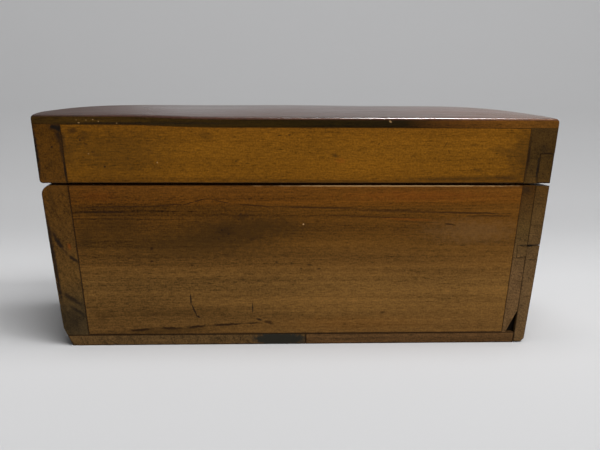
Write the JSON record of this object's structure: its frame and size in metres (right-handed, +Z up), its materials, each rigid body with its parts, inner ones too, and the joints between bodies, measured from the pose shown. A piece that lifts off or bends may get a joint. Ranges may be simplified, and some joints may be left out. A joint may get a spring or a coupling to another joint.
{
  "type": "wooden puzzle box",
  "caption": "Small flared wooden puzzle box with a hinged cushioned lid; end panels slide back to show a hidden keyhole and key for its lid lock.",
  "frame": {"origin": "middle of the underside, on the surface that the box stands on, below the middle of its depth without the hinges", "axes": "+X along the length to the end with the sliding panels, +Y from the plain front to the hinges at the back, +Z up"},
  "size_m": [0.1912, 0.1242, 0.0865],
  "materials": {
    "front_wood": "old oil varnish, satin, dark figured grain",
    "lid_wood": "old oil varnish, satin, pale straight grain",
    "end_wood": "old oil varnish, satin, end grain at the front",
    "top_wood": "dark polished, worn at the edges",
    "base_wood": "old oil finish, dull",
    "brass": "aged, dull",
    "key_iron": "dark, rubbed"
  },
  "bodies": {
    "carcase": {"front_board": "front_wood", "back_board": "front_wood", "left_end_board": "end_wood", "right_end_board": "end_wood", "base_board_left": "base_wood", "base_board_right": "base_wood", "hinge_leaf_lower_left": "brass", "hinge_leaf_lower_right": "brass", "hinge_pin_left": "brass", "hinge_pin_right": "brass", "hinge_screws_lower": "brass", "lock_case": "brass", "lock_cap_plate": "brass", "lock_screws": "brass", "key": "key_iron"},
    "lid": {"lid_top_board": "top_wood", "lid_front_rail": "lid_wood", "lid_back_rail": "lid_wood", "lid_left_end": "end_wood", "lid_right_end": "end_wood", "lid_end_slip": "end_wood", "hinge_leaf_upper_left": "brass", "hinge_leaf_upper_right": "brass", "hinge_screws_upper": "brass", "link_plate": "brass", "link_screws": "brass"},
    "upper_panel": {"upper_end_panel": "end_wood", "upper_panel_runner": "end_wood"},
    "lower_panel": {"lower_end_panel": "end_wood", "lower_panel_runner": "end_wood"},
    "bolt": {"lock_bolt": "brass"}
  },
  "joints": [
    {"name": "lid_hinge", "type": "hinge", "parent": "carcase", "child": "lid", "pos_m": [0, 0.0622, 0.05815], "axis": [-1, 0, 0], "range_deg": [0, 95]},
    {"name": "upper_panel_slide", "type": "slide", "parent": "carcase", "child": "upper_panel", "axis": [0, 1, 0], "range_m": [0, 0.05]},
    {"name": "lower_panel_slide", "type": "slide", "parent": "carcase", "child": "lower_panel", "axis": [0, 1, 0], "range_m": [0, 0.05]},
    {"name": "lock_bolt_slide", "type": "slide", "parent": "carcase", "child": "bolt", "axis": [0, 1, 0], "range_m": [0, 0.004]}
  ]
}
